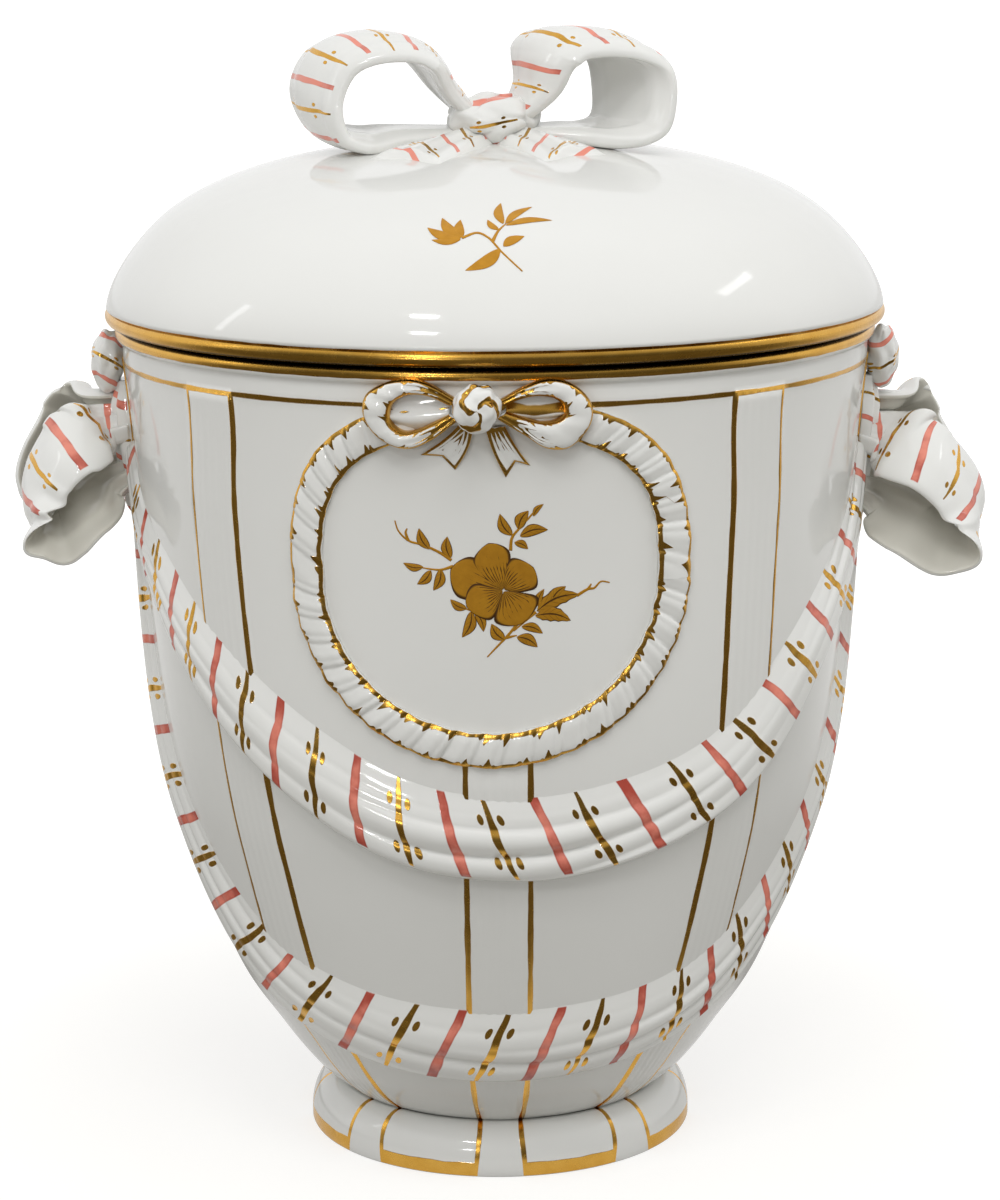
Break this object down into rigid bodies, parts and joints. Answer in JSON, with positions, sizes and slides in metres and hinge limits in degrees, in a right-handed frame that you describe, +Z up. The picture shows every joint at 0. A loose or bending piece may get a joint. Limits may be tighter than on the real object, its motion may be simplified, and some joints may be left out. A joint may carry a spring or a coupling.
{
  "type": "lidded jar",
  "caption": "Porcelain jar on a low foot with relief ribbon swags and medallion, ribbon bow handles, and a domed lift-off lid with a bow as its knob.",
  "frame": {"origin": "centre of the bounding box, on the plane the foot stands on", "axes": "+Z up, -Y towards the decorated front, X through the two bow handles"},
  "size_m": [0.2794, 0.2388, 0.3202],
  "materials": {
    "porcelain": "clear glossy glaze over white porcelain, gilt lines and gilt flower sprays",
    "ribbon_porcelain": "clear glossy glaze over white porcelain, painted coral and gilt ribbon stripes"
  },
  "bodies": {
    "jar": {"jar_bowl": "porcelain", "foot_ring": "porcelain", "upper_swag_front": "ribbon_porcelain", "lower_swag_front": "ribbon_porcelain", "upper_swag_back": "ribbon_porcelain", "lower_swag_back": "ribbon_porcelain", "medallion_front": "ribbon_porcelain", "medallion_back": "ribbon_porcelain", "front_bow_knot": "ribbon_porcelain", "front_bow_left_loop": "ribbon_porcelain", "front_bow_left_tail": "ribbon_porcelain", "front_bow_right_loop": "ribbon_porcelain", "front_bow_right_tail": "ribbon_porcelain", "back_bow_knot": "ribbon_porcelain", "back_bow_left_loop": "ribbon_porcelain", "back_bow_left_tail": "ribbon_porcelain", "back_bow_right_loop": "ribbon_porcelain", "back_bow_right_tail": "ribbon_porcelain", "left_handle_knot": "ribbon_porcelain", "left_handle_neck": "ribbon_porcelain", "left_handle_front_loop": "ribbon_porcelain", "left_handle_back_loop": "ribbon_porcelain", "right_handle_knot": "ribbon_porcelain", "right_handle_neck": "ribbon_porcelain", "right_handle_front_loop": "ribbon_porcelain", "right_handle_back_loop": "ribbon_porcelain"},
    "lid": {"lid_shell": "porcelain", "lid_bow_knot": "ribbon_porcelain", "lid_bow_left_loop": "ribbon_porcelain", "lid_bow_left_tail": "ribbon_porcelain", "lid_bow_right_loop": "ribbon_porcelain", "lid_bow_right_tail": "ribbon_porcelain"}
  },
  "joints": [
    {"name": "lid_lift", "type": "slide", "parent": "jar", "child": "lid", "axis": [0, 0, 1], "range_m": [0, 0.12]}
  ]
}
